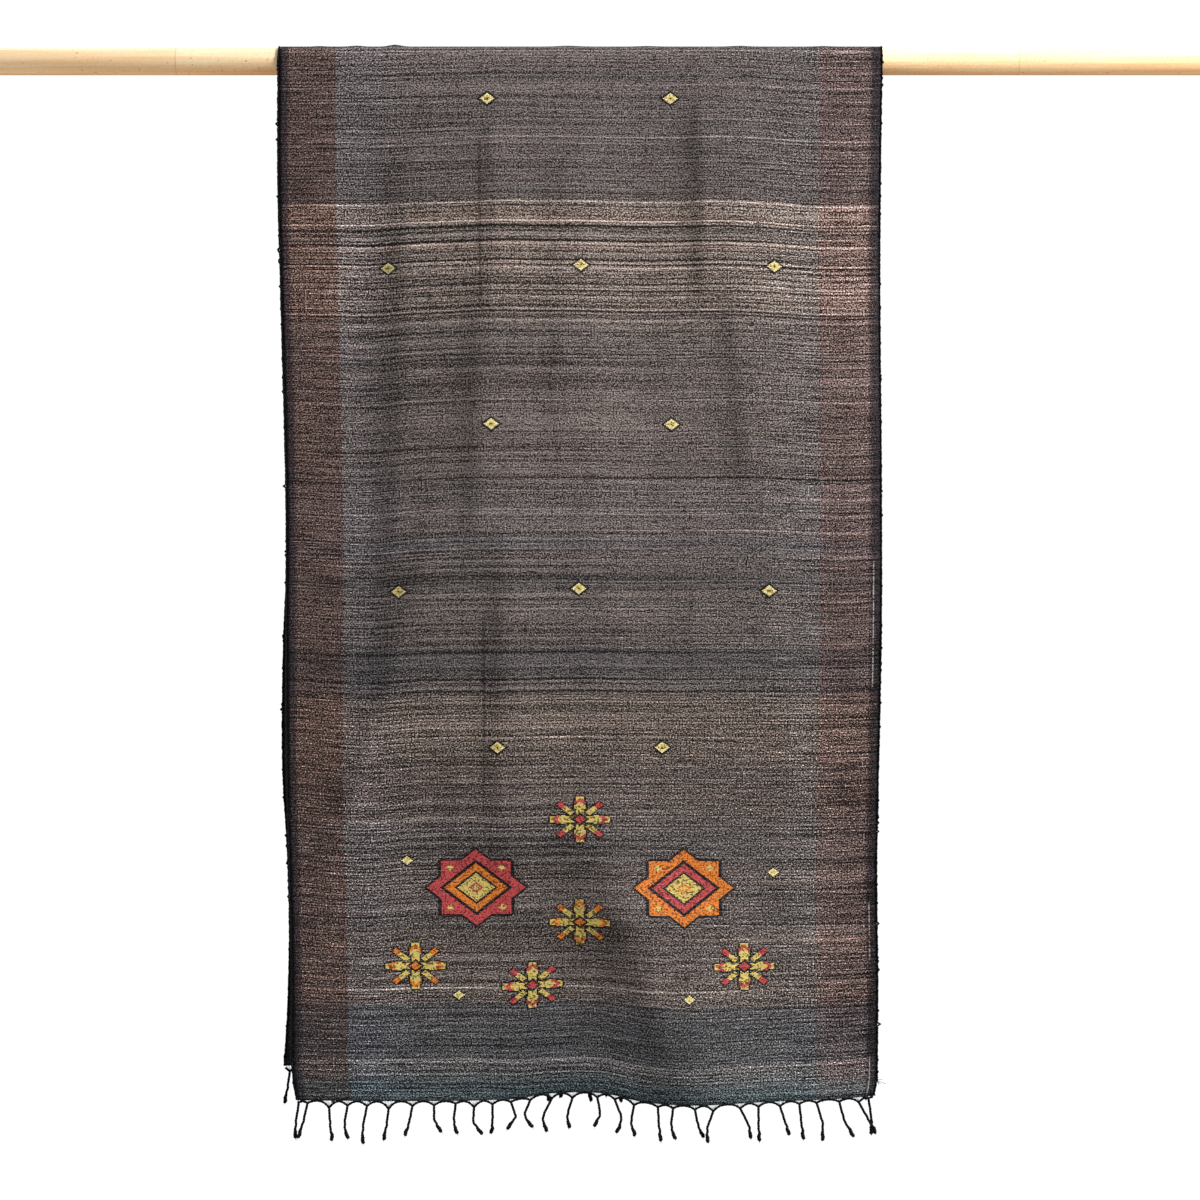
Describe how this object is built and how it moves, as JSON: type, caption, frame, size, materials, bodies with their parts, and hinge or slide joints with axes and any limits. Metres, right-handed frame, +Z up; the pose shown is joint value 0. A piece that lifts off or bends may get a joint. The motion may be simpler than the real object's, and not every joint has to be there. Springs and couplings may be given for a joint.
{
  "type": "silk scarf on a hanging rod",
  "caption": "Handwoven silk scarf doubled over a plain round wooden rod, with soft folds, dark selvages and a knotted fringe at each hem.",
  "frame": {"origin": "on the rod's axis at mid-length, where the rod is held", "axes": "+X along the rod, +Z up, the front fall of the scarf faces -Y"},
  "size_m": [1.2, 0.0601, 1.0184],
  "materials": {
    "woven_silk": "heathered plain weave with a low silk sheen",
    "warp_ends": "twisted black silk yarn",
    "pale_wood": "sanded, unvarnished"
  },
  "bodies": {
    "root": {"cloth": "woven_silk", "front_fringe": "warp_ends", "back_fringe": "warp_ends", "rod": "pale_wood"}
  },
  "joints": []
}
